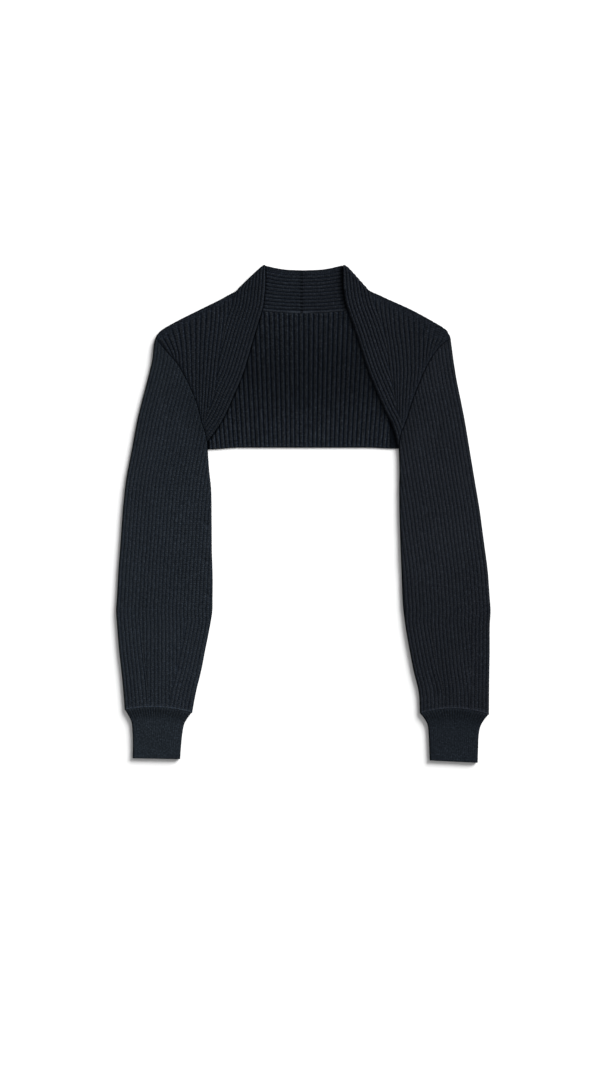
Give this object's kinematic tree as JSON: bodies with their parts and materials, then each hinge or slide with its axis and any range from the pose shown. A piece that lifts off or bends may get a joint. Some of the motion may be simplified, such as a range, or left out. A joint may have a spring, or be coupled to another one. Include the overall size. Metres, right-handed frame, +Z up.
{
  "type": "cropped rib-knit shrug with long sleeves and a shawl collar",
  "caption": "Cropped ribbed sweater, open in front, with long tapered sleeves, fine ribbed cuffs and a shawl collar, laid flat.",
  "frame": {"origin": "on the surface that the garment lies on, under the middle of its outline", "axes": "+X to the wearer's left, +Y from the hem to the neck, +Z up from the surface, out of the fronts"},
  "size_m": [0.5405, 0.7186, 0.0066],
  "materials": {
    "yarn_back": "blue-black rib knit, the inside of the back",
    "yarn_front": "blue-black rib knit, matt",
    "yarn_sleeve": "blue-black rib knit, matt",
    "yarn_cuff": "blue-black fine rib knit, matt"
  },
  "bodies": {
    "root": {"back_panel": "yarn_back", "front_right": "yarn_front", "front_left": "yarn_front", "sleeve_right": "yarn_sleeve", "sleeve_left": "yarn_sleeve", "cuff_right": "yarn_cuff", "cuff_left": "yarn_cuff"}
  },
  "joints": []
}
